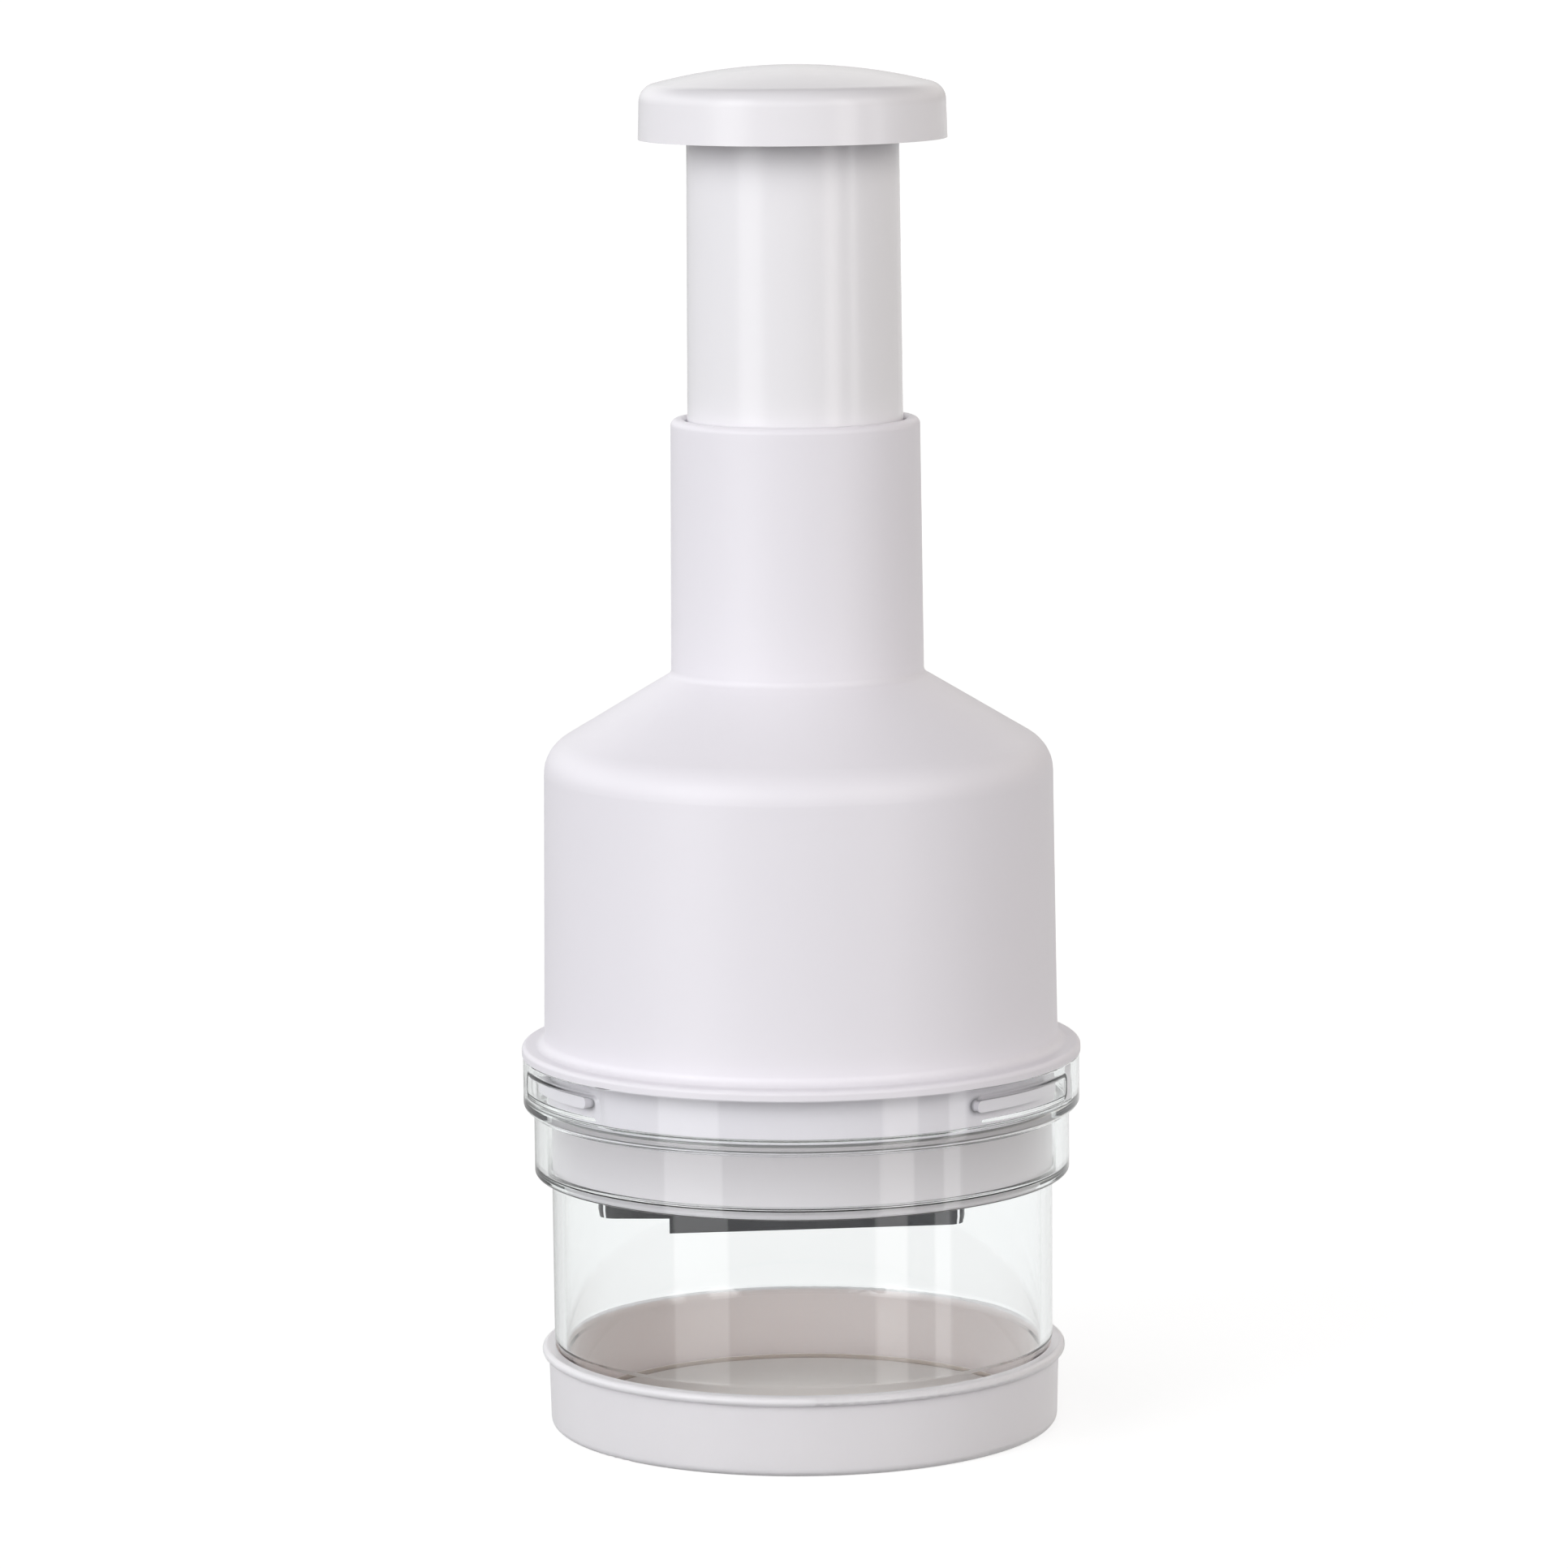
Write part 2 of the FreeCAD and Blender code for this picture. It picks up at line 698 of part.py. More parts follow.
# ---- Blade, carrier and shaft ----
def zigzag_blade():
    half = blade_thickness / 2
    bevel_top = blade_bottom + blade_bevel
    sharp = zigzag_wire(blade_edge_thickness / 2, 0, blade_bottom)
    full = zigzag_wire(half, 0, bevel_top)
    bevel = Part.makeLoft([sharp, full], True, True)
    return bevel.fuse(zigzag_solid(half, 0, bevel_top, blade_top))


def carrier_points():
    return on_circle(carrier_screw_count, carrier_screw_circle, carrier_screw_start)


def blade_carrier():
    disc = turned([
        (0, carrier_bottom),
        (carrier_radius, carrier_bottom, soft_edge),
        (carrier_radius, carrier_top, soft_edge),
        (0, carrier_top),
    ])
    half_groove = blade_thickness / 2 + groove_clearance
    disc = disc.cut(zigzag_solid(half_groove, groove_clearance, carrier_bottom - overcut, blade_top))
    for x, y in carrier_points():
        hole = screw_radius + screw_hole_clearance
        disc = disc.cut(cylinder(hole, blade_top + carrier_screw_floor, carrier_top + overcut, x, y))
    return disc


def carrier_screws():
    depth = hub_top - blade_top - carrier_screw_floor - screw_tip_gap
    return Part.makeCompound([screw(x, y, hub_top, depth, False) for x, y in carrier_points()])


def blade_shaft():
    rib_bottom = hub_top
    rib_top = holder_bottom - thrust_washer_thickness
    spigot_top = tube_shoulder
    shaft = cylinder(hub_radius, carrier_top, hub_top)
    shaft = shaft.fuse(ribbed_bar(0.0, rib_bottom, rib_top))
    shaft = shaft.fuse(cylinder(shaft_spigot_radius, rib_top, spigot_top))
    screw_hole = screw_radius + screw_hole_clearance
    shaft = shaft.cut(cylinder(screw_hole, spigot_top - shaft_screw_depth, spigot_top + overcut))
    for x, y in carrier_points():
        hole = screw_radius + screw_pass_clearance
        shaft = shaft.cut(cylinder(hole, carrier_top - overcut, hub_top + overcut, x, y))
    return shaft


def thrust_washer():
    bore = shaft_spigot_radius + shaft_fit
    return pipe(thrust_washer_radius, bore, holder_bottom - thrust_washer_thickness, holder_bottom)


def retaining_washer():
    bore = screw_radius + screw_pass_clearance
    return pipe(retaining_washer_radius, bore, tube_shoulder, tube_shoulder + washer_thickness)


def shaft_screw():
    seat = tube_shoulder + washer_thickness
    return screw(0, 0, seat, shaft_screw_depth, False)


# ---- Mechanism plate, drive nut, spring ----
def mechanism_plate():
    plate = turned([
        (0, plate_bottom),
        (plate_radius, plate_bottom, soft_edge),
        (plate_radius, plate_top, soft_edge),
        (0, plate_top),
    ])
    seat = nut_body_radius + nut_seat_clearance
    plate = plate.cut(cylinder(seat, plate_bottom - overcut, plate_top + overcut))
    for x, y in boss_points():
        hole = screw_radius + screw_pass_clearance
        plate = plate.cut(cylinder(hole, plate_bottom - overcut, plate_top + overcut, x, y))
    return plate


def plate_screws():
    points = boss_points()
    depth = plate_thickness + plate_screw_depth - screw_tip_gap
    return Part.makeCompound([screw(x, y, plate_bottom, depth, True) for x, y in points])


def drive_nut():
    body = turned([
        (0, plate_bottom),
        (nut_body_radius, plate_bottom, edge_break),
        (nut_body_radius, plate_top),
        (nut_flange_radius, plate_top),
        (nut_flange_radius, plate_top + nut_flange_thickness, edge_break),
        (nut_body_radius, plate_top + nut_flange_thickness),
        (nut_body_radius, nut_top, soft_edge),
        (0, nut_top),
    ])
    return body.cut(ribbed_bar(nut_clearance, plate_bottom - overcut, nut_top + overcut))


def spring_washer():
    bore = nut_flange_radius + nut_seat_clearance
    return pipe(washer_radius, bore, plate_top, plate_top + washer_thickness)


def return_spring():
    half_wire = spring_wire / 2
    bottom = spring_bottom + half_wire + spring_clearance
    top = holder_bottom - half_wire - spring_clearance
    pitch = (top - bottom) / spring_turns
    helix = Part.makeHelix(pitch, top - bottom, spring_radius)
    along = Vector(0, 2 * math.pi * spring_radius, pitch)
    circle = Part.Circle(Vector(spring_radius, 0, 0), along, half_wire)
    quarter = math.pi / 2
    arcs = [Part.ArcOfCircle(circle, quarter * index, quarter * (index + 1)) for index in range(4)]
    section = Part.Wire([arc.toShape() for arc in arcs])
    spring = Part.Wire(helix).makePipeShell([section], True, True)
    spring.translate(Vector(0, 0, bottom))
    return spring


# ---- Plunger ----
def knob_screw_points():
    return on_circle(knob_screw_count, knob_screw_circle, first_screw_angle)


def plunger_tube():
    web_bottom = tube_top - tube_web
    bore_above = tube_bore_radius - tube_step
    body = turned([
        (tube_bore_radius, tube_bottom),
        (tube_collar_radius, tube_bottom, soft_edge),
        (tube_collar_radius, tube_collar_top, edge_break),
        (tube_radius, tube_collar_top),
        (tube_radius, neck_top),
        (tube_top_radius, knob_bottom),
        (tube_top_radius, tube_top, edge_break),
        (0, tube_top),
        (0, web_bottom),
        (bore_above, web_bottom, soft_edge),
        (bore_above, tube_shoulder),
        (tube_bore_radius, tube_shoulder),
    ])
    for x, y in knob_screw_points():
        hole = screw_radius + screw_pass_clearance
        body = body.cut(cylinder(hole, web_bottom - overcut, tube_top + overcut, x, y))
    return body


def stop_bumper():
    bore = tube_radius + bumper_clearance
    return turned([
        (bore, tube_collar_top),
        (tube_collar_radius, tube_collar_top, edge_break),
        (tube_collar_radius, sleeve_bottom, edge_break),
        (bore, sleeve_bottom),
    ])


def shaft_holder():
    outer = tube_bore_radius - holder_clearance
    return pipe(outer, shaft_spigot_radius + shaft_fit, holder_bottom, tube_shoulder)


def cap_arcs(radius, edge_radius, dome_radius, top):
    """Arcs of a cap's section from its side, round its edge, over its dome to the axis."""
    dome_centre = top - dome_radius
    edge_rise = math.sqrt((dome_radius - edge_radius) ** 2 - (radius - edge_radius) ** 2)
    edge_centre = Vector(radius - edge_radius, 0, dome_centre + edge_rise)
    lean = math.atan2(edge_centre.x, edge_rise)
    meet = Vector(dome_radius * math.sin(lean), 0, dome_centre + dome_radius * math.cos(lean))
    halfway = Vector(dome_radius * math.sin(lean / 2), 0, dome_centre + dome_radius * math.cos(lean / 2))
    side_top = Vector(radius, 0, edge_centre.z)
    edge_lean = (lean + math.pi / 2) / 2
    edge_middle = edge_centre + Vector(math.sin(edge_lean), 0, math.cos(edge_lean)) * edge_radius
    edge_arc = Part.Arc(side_top, edge_middle, meet).toShape()
    dome_arc = Part.Arc(meet, halfway, Vector(0, 0, top)).toShape()
    return side_top, [edge_arc, dome_arc]


def cap_solid(bottom, bottom_radius, radius, edge_radius, dome_radius, top):
    side_top, arcs = cap_arcs(radius, edge_radius, dome_radius, top)
    corner = Vector(bottom_radius, 0, bottom)
    foot = Vector(0, 0, bottom)
    edges = [
        Part.makeLine(foot, corner),
        Part.makeLine(corner, side_top),
        *arcs,
        Part.makeLine(Vector(0, 0, top), foot),
    ]
    return Part.Face(Part.Wire(edges)).revolve(Vector(0, 0, 0), Vector(0, 0, 1), 360)


def plunger_knob():
    top_radius = knob_radius - knob_draft
    outer = cap_solid(knob_bottom, knob_radius, top_radius, knob_edge_radius, knob_dome_radius, knob_top)
    inner = cap_solid(
        knob_bottom - overcut,
        knob_radius - knob_wall,
        top_radius - knob_wall,
        knob_edge_radius - knob_wall,
        knob_dome_radius - knob_wall,
        knob_top - knob_wall,
    )
    knob = outer.cut(inner)
    hole = screw_radius + screw_hole_clearance
    for x, y in knob_screw_points():
        boss = cylinder(knob_boss_radius, tube_top, knob_top, x, y).common(outer)
        bore = cylinder(hole, tube_top - overcut, knob_screw_end, x, y)
        knob = knob.fuse(boss).cut(bore)
    return knob.removeSplitter()


def knob_backplate():
    bottom = knob_bottom + knob_floor_recess
    return pipe(
        knob_radius - knob_wall - knob_fit - knob_draft,
        tube_top_radius + knob_fit,
        bottom,
        bottom + knob_floor_thickness,
    )


def knob_screws():
    seat = tube_top - tube_web
    depth = knob_screw_end - seat - screw_tip_gap
    points = knob_screw_points()
    return Part.makeCompound([screw(x, y, seat, depth, True) for x, y in points])


pieces = {
    "base_lid": base_lid,
    "chopping_disc": chopping_disc,
    "clear_cup": clear_cup,
    "housing_shell": housing_shell,
    "guide_sleeve": guide_sleeve,
    "wiper_ring": wiper_ring,
    "wiper_disc": wiper_disc,
    "wiper_snap_ring": wiper_snap_ring,
    "mechanism_plate": mechanism_plate,
    "plate_screws": plate_screws,
    "drive_nut": drive_nut,
    "spring_washer": spring_washer,
    "return_spring": return_spring,
    "plunger_tube": plunger_tube,
    "stop_bumper": stop_bumper,
    "shaft_holder": shaft_holder,
    "plunger_knob": plunger_knob,
    "knob_backplate": knob_backplate,
    "knob_screws": knob_screws,
    "blade_shaft": blade_shaft,
    "thrust_washer": thrust_washer,
    "retaining_washer": retaining_washer,
    "shaft_screw": shaft_screw,
    "blade_carrier": blade_carrier,
    "carrier_screws": carrier_screws,
    "zigzag_blade": zigzag_blade,
}

os.makedirs("parts", exist_ok=True)
for name, make in pieces.items():
    shape = make()
    shape.exportStep("parts/" + name + ".step")
    print(name, "valid" if shape.isValid() else "NOT VALID", len(shape.Solids), round(shape.Volume, 1))
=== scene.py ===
import bmesh
import bpy
import math
from mathutils import Matrix, Vector


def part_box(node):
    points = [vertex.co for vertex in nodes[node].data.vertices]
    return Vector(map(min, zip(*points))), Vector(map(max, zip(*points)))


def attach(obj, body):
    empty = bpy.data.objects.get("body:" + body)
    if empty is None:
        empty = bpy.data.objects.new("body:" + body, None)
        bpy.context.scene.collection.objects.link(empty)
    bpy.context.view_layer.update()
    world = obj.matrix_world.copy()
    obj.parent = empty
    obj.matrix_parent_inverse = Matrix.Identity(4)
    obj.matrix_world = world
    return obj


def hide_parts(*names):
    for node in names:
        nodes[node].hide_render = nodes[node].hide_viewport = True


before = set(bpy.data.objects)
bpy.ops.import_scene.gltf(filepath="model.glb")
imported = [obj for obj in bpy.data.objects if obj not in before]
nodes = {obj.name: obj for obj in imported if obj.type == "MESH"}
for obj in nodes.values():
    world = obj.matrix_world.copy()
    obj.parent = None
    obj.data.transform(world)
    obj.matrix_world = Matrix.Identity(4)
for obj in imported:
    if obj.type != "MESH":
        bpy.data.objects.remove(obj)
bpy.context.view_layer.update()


# ---- Base lid ----
# A shallow dish moulded in white polypropylene that the cup stands in and that keeps the
# chopped food in. A round bead runs along its rim for the fingers.
# Painted shade: the lid's white is the shell's plastic made a little greyer, as the lid is lit less.
LID_SHADED_WHITE = (0.755, 0.74, 0.765)
LID_SHADE = (0.735, 0.72, 0.74)
LID_INSIDE_SHADE = (0.94, 0.86, 0.81)
LID_INSIDE_RADIUS = 0.04395
CLOUD_GRAINS, SKIN_GRAINS = 35.0, 420.0
SKIN_SHEEN_SPREAD = 0.05


def graded(tree, value, start, end, first=0.0, last=1.0):
    """A value that runs from first to last while another runs from start to end."""
    grade = tree.nodes.new("ShaderNodeMapRange")
    grade.inputs["From Min"].default_value = start
    grade.inputs["From Max"].default_value = end
    grade.inputs["To Min"].default_value = first
    grade.inputs["To Max"].default_value = last
    tree.links.new(value, grade.inputs["Value"])
    return grade.outputs["Result"]


def mixed_colour(tree, share, first, second, blend="MIX"):
    """A colour between two, each given as three numbers or as another node's output."""
    mix = tree.nodes.new("ShaderNodeMix")
    mix.data_type = "RGBA"
    mix.blend_type = blend
    tree.links.new(share, mix.inputs[0])
    for socket, colour in ((mix.inputs[6], first), (mix.inputs[7], second)):
        if isinstance(colour, tuple):
            socket.default_value = (*colour, 1.0)
        else:
            tree.links.new(colour, socket)
    return mix.outputs[2]


def fine_noise(tree, scale, detail):
    """Noise over the piece's own place, with its scale in grains to a metre."""
    noise = tree.nodes.new("ShaderNodeTexNoise")
    noise.inputs["Scale"].default_value = scale
    noise.inputs["Detail"].default_value = detail
    tree.links.new(tree.nodes.new("ShaderNodeTexCoord").outputs["Object"], noise.inputs["Vector"])
    return noise.outputs["Fac"]


def moulded_plastic(name, colour, shade, roughness=0.3, grain=0.000004, glow=0.0):
    """Moulded plastic: faint clouding of its tone and a fine spark-eroded skin."""
    finish = bpy.data.materials.new(name)
    finish.use_nodes = True
    tree = finish.node_tree
    shader = tree.nodes["Principled BSDF"]
    cloud = fine_noise(tree, CLOUD_GRAINS, detail=3.0)
    tree.links.new(mixed_colour(tree, cloud, colour, shade), shader.inputs["Base Color"])

    skin = fine_noise(tree, SKIN_GRAINS, detail=4.0)
    sheen = graded(tree, skin, 0.0, 1.0, roughness - SKIN_SHEEN_SPREAD, roughness + SKIN_SHEEN_SPREAD)
    tree.links.new(sheen, shader.inputs["Roughness"])
    bump = tree.nodes.new("ShaderNodeBump")
    bump.inputs["Strength"].default_value = 0.5
    bump.inputs["Distance"].default_value = grain
    tree.links.new(skin, bump.inputs["Height"])
    tree.links.new(bump.outputs["Normal"], shader.inputs["Normal"])

    shader.inputs["IOR"].default_value = 1.5
    shader.inputs["Subsurface Weight"].default_value = glow
    shader.inputs["Subsurface Scale"].default_value = 0.002
    shader.inputs["Subsurface Radius"].default_value = (1.0, 1.0, 1.0)
    return finish


def tint_finish(finish, share, tint):
    """Multiplies a finish's colour by a tint, as far as the share goes."""
    tree = finish.node_tree
    colour_socket = tree.nodes["Principled BSDF"].inputs["Base Color"]
    clean = colour_socket.links[0].from_socket
    tree.links.new(mixed_colour(tree, share, clean, tint, blend="MULTIPLY"), colour_socket)
    return finish


def paint_shade_ring(finish, inner, outer, tint, fade=0.0001):
    """Paints shade into a finish between two radii, as a darker tint.

    An inner radius below 0 takes in the middle."""
    tree = finish.node_tree
    flat = tree.nodes.new("ShaderNodeVectorMath")
    flat.operation = "MULTIPLY"
    flat.inputs[1].default_value = (1.0, 1.0, 0.0)
    tree.links.new(tree.nodes.new("ShaderNodeTexCoord").outputs["Object"], flat.inputs[0])
    reach = tree.nodes.new("ShaderNodeVectorMath")
    reach.operation = "LENGTH"
    tree.links.new(flat.outputs["Vector"], reach.inputs[0])
    band = tree.nodes.new("ShaderNodeMath")
    band.operation = "MULTIPLY"
    past_inner = graded(tree, reach.outputs["Value"], inner - fade, inner + fade)
    within_outer = graded(tree, reach.outputs["Value"], outer - fade, outer + fade, 1.0, 0.0)
    tree.links.new(past_inner, band.inputs[0])
    tree.links.new(within_outer, band.inputs[1])
    return tint_finish(finish, band.outputs[0], tint)


def dress(finish, *names):
    """Gives CAD nodes this finish."""
    for name in names:
        nodes[name].data.materials.clear()
        nodes[name].data.materials.append(finish)


lid_shaded_white = moulded_plastic("lid_shaded_white", LID_SHADED_WHITE, LID_SHADE, roughness=0.32, glow=1.0)
# Painted shade: the lid is darker and warmer inside its rim.
dress(paint_shade_ring(lid_shaded_white, -0.001, LID_INSIDE_RADIUS, LID_INSIDE_SHADE), "base_lid")


# ---- Chopping disc ----
# A polyethylene insert on the lid's floor that the blade strikes, dull and slightly rough.
# It lies loose inside the cup's foot, with a low lip round it and a groove for juice.
DISC_WHITE = (0.84, 0.78, 0.745)
DISC_SHADE = (0.78, 0.72, 0.69)
GROOVE_SHADE = (0.5, 0.46, 0.42)
GROOVE_INNER, GROOVE_OUTER, GROOVE_FADE = 0.0397, 0.04042, 0.00005
EVEN_TURN = [index * 1.25 for index in range(288)]
TOUCHING = 0.0000002


def rounded_outline(corners, steps=8, hold=0.15):
    """Closed outline in millimetres, with its long straight runs held flat at both ends.

    A corner is a radius, a height and, if it is rounded, its rounding. At an exact right
    angle the last digits decide which way the arc swings, and at three small inner corners
    of the cup it swings the wrong way, which leaves notches of 0.3 to 0.6 mm."""
    outline = []
    for index, corner in enumerate(corners):
        here = Vector(corner[:2])
        if len(corner) == 2:
            outline.append(here)
            continue
        before = (Vector(corners[index - 1][:2]) - here).normalized()
        after = (Vector(corners[(index + 1) % len(corners)][:2]) - here).normalized()
        half = before.angle(after) / 2
        centre = here + (before + after).normalized() * (corner[2] / math.sin(half))
        start = here + before * (corner[2] / math.tan(half)) - centre
        sweep = math.pi - 2 * half
        if start.x * after.y - start.y * after.x < 0:
            sweep = -sweep
        for step in range(steps + 1):
            outline.append(centre + Matrix.Rotation(sweep * step / steps, 2) @ start)
    held = []
    for point, following in zip(outline, outline[1:] + outline[:1]):
        held.append(point)
        span = following - point
        if span.length > 4 * hold:
            held.append(point + span.normalized() * hold)
            held.append(following - span.normalized() * hold)
    return held


def finished_piece(name, mesh, finish):
    """An object of this mesh, closed, with its faces turned outward and shaded smooth."""
    work = bmesh.new()
    work.from_mesh(mesh)
    bmesh.ops.remove_doubles(work, verts=work.verts, dist=TOUCHING)
    bmesh.ops.recalc_face_normals(work, faces=work.faces)
    work.to_mesh(mesh)
    work.free()
    mesh.shade_smooth()
    mesh.materials.append(finish)
    piece = bpy.data.objects.new(name, mesh)
    bpy.context.scene.collection.objects.link(piece)
    return piece


def turned_piece(name, outline, finish, degrees=EVEN_TURN, shape=None):
    """A piece turned about the upright axis. Degrees count from the front to the right."""
    count = len(outline)
    points = []
    for degree in degrees:
        turn = math.radians(degree)
        for radius, height in outline:
            if shape:
                radius = shape(degree, radius, height)
            across, back = radius * math.sin(turn), -radius * math.cos(turn)
            points.append((across / 1000, back / 1000, height / 1000))
    faces = []
    for ring in range(len(degrees)):
        here, there = ring * count, (ring + 1) % len(degrees) * count
        for low in range(count):
            high = (low + 1) % count
            faces.append((here + low, here + high, there + high, there + low))
    mesh = bpy.data.meshes.new(name)
    mesh.from_pydata(points, [], faces)
    return finished_piece(name, mesh, finish)


disc_white = moulded_plastic("disc_white", DISC_WHITE, DISC_SHADE, roughness=0.5, grain=0.00001, glow=1.0)
# Painted shade: the disc is darker in its groove and on the lip's inner face.
paint_shade_ring(disc_white, GROOVE_INNER, GROOVE_OUTER, GROOVE_SHADE, GROOVE_FADE)
disc_outline = rounded_outline([
    (0, 1.2), (40.9, 1.2), (40.9, 2.8, 0.25), (40.32, 2.8, 0.2),
    (40.2, 1.7, 0.1), (39.85, 1.7, 0.1), (39.75, 2.2, 0.1), (0, 2.2)], hold=0.08)
cutting_disc = turned_piece("cutting_disc", disc_outline, disc_white)
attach(cutting_disc, "base")
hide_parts("chopping_disc")


# ---- Clear cup ----
# One polished moulding of clear styrene: a thin straight wall over the chopping chamber and
# a two-step collar. Three shallow pads inside the collar hold the pockets that the
# housing's lugs turn into.
CLEAR_TONE = (0.985, 0.992, 0.995, 1.0)
CLEAR_DEPTH_TONE = (0.80, 0.84, 0.83, 1.0)
CLEAR_DEPTH_DENSITY = 75.0
CLEAR_INDEX = 1.46
WALL, PAD = 46.95, 46.55
INNER_WALL_LIMIT = WALL + 0.35
COLLAR_LEDGE, COLLAR_RIM = 58.9, 66
PAD_STARTS = (34.0, 154.0, 274.0)
PAD_SPAN = 40.0
PAD_FADE, PAD_FADE_DEGREES = 5.0, 4
POCKET_START, POCKET_SPAN = 5.2, 33.5
POCKET_LOW, POCKET_HIGH = 60.4, 64.4
POCKET_CORNER, POCKET_FADE = 1.2, 1.0
PAD_EDGE_REACH, POCKET_EDGE_REACH, POCKET_EDGE_INSET = 3.1, 1.4, 0.8
EDGE_STEPS = 8
PLAIN_ROWS = [59.5, 61.2, 61.6, 62.0, 62.4, 62.8, 63.2, 63.6, 65.2, 65.6, 66.0]
EDGE_ROWS, EDGE_ROW_SPACING = 6, 0.09
ON_THE_WALL = 0.01
MILLIMETRES_TO_A_DEGREE = WALL * math.pi / 180

clear_styrene = bpy.data.materials.new("clear_styrene")
clear_styrene.use_nodes = True
clear_tree = clear_styrene.node_tree
clear_shader = clear_tree.nodes["Principled BSDF"]
clear_shader.inputs["Base Color"].default_value = CLEAR_TONE
clear_shader.inputs["Transmission Weight"].default_value = 1.0
clear_shader.inputs["Roughness"].default_value = 0.0
clear_shader.inputs["IOR"].default_value = CLEAR_INDEX
depth = clear_tree.nodes.new("ShaderNodeVolumeAbsorption")
depth.inputs["Color"].default_value = CLEAR_DEPTH_TONE
depth.inputs["Density"].default_value = CLEAR_DEPTH_DENSITY
clear_tree.links.new(depth.outputs["Volume"], clear_tree.nodes["Material Output"].inputs["Volume"])


def ease(value):
    """Smooth step from 0 to 1."""
    value = min(max(value, 0.0), 1.0)
    return value * value * (3 - 2 * value)


def pad_wall(degree, radius, height):
    """The collar's inner wall, which stands in to a pad round each bayonet pocket."""
    if height < COLLAR_LEDGE or radius > INNER_WALL_LIMIT:
        return radius
    for start in PAD_STARTS:
        along = (degree - start + 180) % 360 - 180
        if -PAD_FADE_DEGREES < along < PAD_SPAN + PAD_FADE_DEGREES:
            from_start = along * MILLIMETRES_TO_A_DEGREE
            from_end = (PAD_SPAN - along) * MILLIMETRES_TO_A_DEGREE
            pad = ease(from_start / PAD_FADE + 0.5) * ease(from_end / PAD_FADE + 0.5)
            from_middle = abs(along - POCKET_START - POCKET_SPAN / 2) * MILLIMETRES_TO_A_DEGREE
            half_span = POCKET_SPAN / 2 * MILLIMETRES_TO_A_DEGREE
            half_height = (POCKET_HIGH - POCKET_LOW) / 2
            sideways = from_middle - half_span + POCKET_CORNER
            upright = abs(height - (POCKET_HIGH + POCKET_LOW) / 2) - half_height + POCKET_CORNER
            outside = math.hypot(max(sideways, 0), max(upright, 0))
            inside = min(max(sideways, upright), 0)
            pocket = ease(0.5 - (outside + inside - POCKET_CORNER) / POCKET_FADE)
            return radius - (WALL - PAD) * pad * (1 - pocket)
    return radius


# Points stand closer together where a pad or a pocket begins or ends.
cup_degrees = set(EVEN_TURN)
pad_edges = (
    (0, PAD_EDGE_REACH), (POCKET_START + POCKET_EDGE_INSET, POCKET_EDGE_REACH),
    (POCKET_START + POCKET_SPAN - POCKET_EDGE_INSET, POCKET_EDGE_REACH), (PAD_SPAN, PAD_EDGE_REACH))
for start in PAD_STARTS:
    for edge, reach in pad_edges:
        for step in range(-EDGE_STEPS, EDGE_STEPS + 1):
            cup_degrees.add((start + edge + reach * step / EDGE_STEPS) % 360)
wall_heights = list(PLAIN_ROWS)
for edge in (POCKET_LOW, POCKET_HIGH):
    wall_heights += [edge + EDGE_ROW_SPACING * step for step in range(-EDGE_ROWS, EDGE_ROWS + 1)]
pad_rows = [Vector((WALL, height)) for height in sorted(wall_heights, reverse=True)]

cup_outline = rounded_outline([
    (41.6, 1.2, 0.3), (43.6, 1.2, 0.3), (43.6, 13.6), (44.2, 15.6), (44.3, 45.4, 0.4),
    (47.3, 45.4, 0.6), (47.3, 57.2, 0.3), (49.15, 57.2, 1.0), (49.15, 66.6, 0.3),
    (WALL, 66.6, 0.3), (WALL, 59.0, 0.3), (45.1, 59.0, 0.3), (45.1, 46.4, 0.5),
    (42.2, 46.4, 0.3), (42.2, 15.6), (41.6, 13.6)])
wall_top = max(index for index, point in enumerate(cup_outline)
               if abs(point.x - WALL) < ON_THE_WALL and point.y > COLLAR_RIM)
cup_outline = cup_outline[:wall_top + 1] + pad_rows + cup_outline[wall_top + 1:]

moulded_cup = turned_piece("moulded_cup", cup_outline, clear_styrene, sorted(cup_degrees), pad_wall)
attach(moulded_cup, "cup")
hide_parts("clear_cup")
moulded_cup.visible_diffuse = False
moulded_cup.visible_shadow = False


# ---- Wiper ring, snap ring, lip and seal ----
# The ring stands on a ledge inside the collar and holds the wiper disc. A small lip and a
# grey seal close the gaps beside it; the seal's dark grey is painted shade for the gap
# between the ring and the skirt.
WIPER_WHITE = (0.73, 0.705, 0.73)
WIPER_SHADE = (0.69, 0.665, 0.69)
RING_TOP_SHADE = (0.7, 0.69, 0.69)
RING_SHADE_FROM, RING_SHADE_TO = 0.048, 0.0578
GAP_SHADE_GREY = (0.22, 0.22, 0.22)
SEAL_SHADE = (0.2, 0.2, 0.2)


def shade_by_height(finish, start, end, tint):
    """Paints shade into a finish, more and more from one height to the other."""
    tree = finish.node_tree
    place = tree.nodes.new("ShaderNodeSeparateXYZ")
    tree.links.new(tree.nodes.new("ShaderNodeTexCoord").outputs["Object"], place.inputs[0])
    return tint_finish(finish, graded(tree, place.outputs["Z"], start, end), tint)


wiper_white = moulded_plastic("wiper_white", WIPER_WHITE, WIPER_SHADE, roughness=0.3)
# Painted shade: the ring is darker towards its top, under the step above it.
shade_by_height(wiper_white, RING_SHADE_FROM, RING_SHADE_TO, RING_TOP_SHADE)
dress(wiper_white, "wiper_ring", "wiper_snap_ring")
# Painted shade: the seal's dark grey stands for the shaded gap between the ring and the skirt.
gap_shade_grey = moulded_plastic("gap_shade_grey", GAP_SHADE_GREY, SEAL_SHADE, roughness=0.5)

